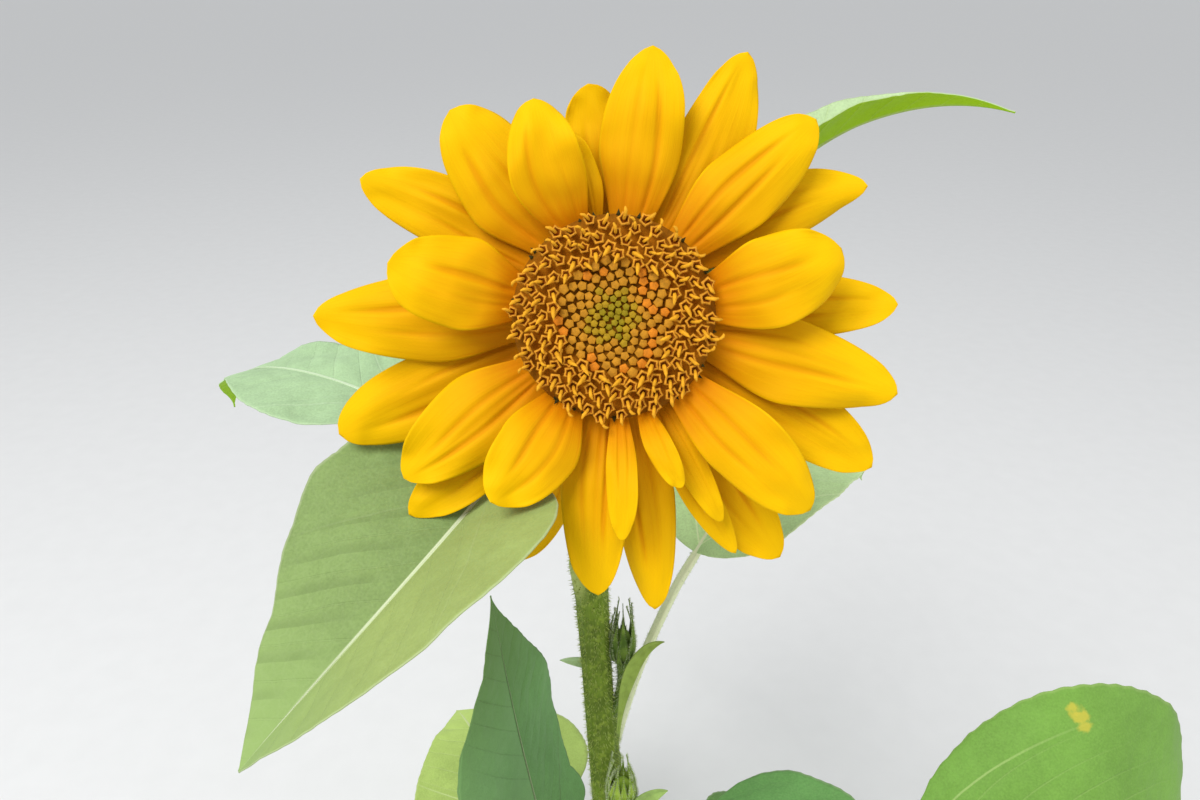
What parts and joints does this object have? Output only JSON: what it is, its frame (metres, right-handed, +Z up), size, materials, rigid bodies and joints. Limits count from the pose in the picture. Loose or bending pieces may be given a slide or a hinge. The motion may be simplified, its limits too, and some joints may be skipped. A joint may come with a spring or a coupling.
{
  "type": "sunflower plant",
  "caption": "Short rooted garden sunflower: stout leaning stem, broad stalked leaves, side buds and an open golden bloom that faces forward and a little up.",
  "frame": {"origin": "middle of the flat cut through the foot of the stem, at ground level", "axes": "+Z up along the stem, -Y towards the viewer that the bloom faces, +X to that viewer's right"},
  "size_m": [0.4698, 0.3401, 0.5964],
  "materials": {
    "stem": "green, ribbed and covered in short white bristles",
    "leaf_stalk": "pale green, grooved above and softly hairy",
    "leaf_blade": "matt green with pale sunken veins and a finely toothed margin",
    "bract": "matt green with a hairy margin",
    "floret": "golden brown tubes with yellow styles round a greenish middle",
    "petal": "golden yellow, pleated lengthwise, with an orange base",
    "bud": "green closed bracts with pale hairs"
  },
  "bodies": {
    "root": {"stem": "stem", "head_with_bracts": "bract", "disc_of_florets": "floret", "ray_01": "petal", "ray_02": "petal", "ray_03": "petal", "ray_04": "petal", "ray_05": "petal", "ray_06": "petal", "ray_07": "petal", "ray_08": "petal", "ray_09": "petal", "ray_10": "petal", "ray_11": "petal", "ray_12": "petal", "ray_13": "petal", "ray_14": "petal", "ray_15": "petal", "ray_16": "petal", "ray_17": "petal", "ray_18": "petal", "ray_19": "petal", "ray_20": "petal", "ray_21": "petal", "ray_22": "petal", "ray_23": "petal", "ray_24": "petal", "ray_25": "petal", "ray_26": "petal", "ray_27": "petal", "ray_28": "petal", "stalk_front_left": "leaf_stalk", "blade_front_left": "leaf_blade", "stalk_upper_right": "leaf_stalk", "blade_upper_right": "leaf_blade", "stalk_side_left": "leaf_stalk", "blade_side_left": "leaf_blade", "stalk_back": "leaf_stalk", "blade_back": "leaf_blade", "stalk_side_right": "leaf_stalk", "blade_side_right": "leaf_blade", "stalk_low_front": "leaf_stalk", "blade_low_front": "leaf_blade", "stalk_low_right": "leaf_stalk", "blade_low_right": "leaf_blade", "stalk_low_front_left": "leaf_stalk", "blade_low_front_left": "leaf_blade", "stalk_low_left": "leaf_stalk", "blade_low_left": "leaf_blade", "stalk_back_left": "leaf_stalk", "blade_back_left": "leaf_blade", "stalk_low_back_right": "leaf_stalk", "blade_low_back_right": "leaf_blade", "stalk_low_back_left": "leaf_stalk", "blade_low_back_left": "leaf_blade", "bud_upper": "bud", "bud_lower": "bud"}
  },
  "joints": []
}
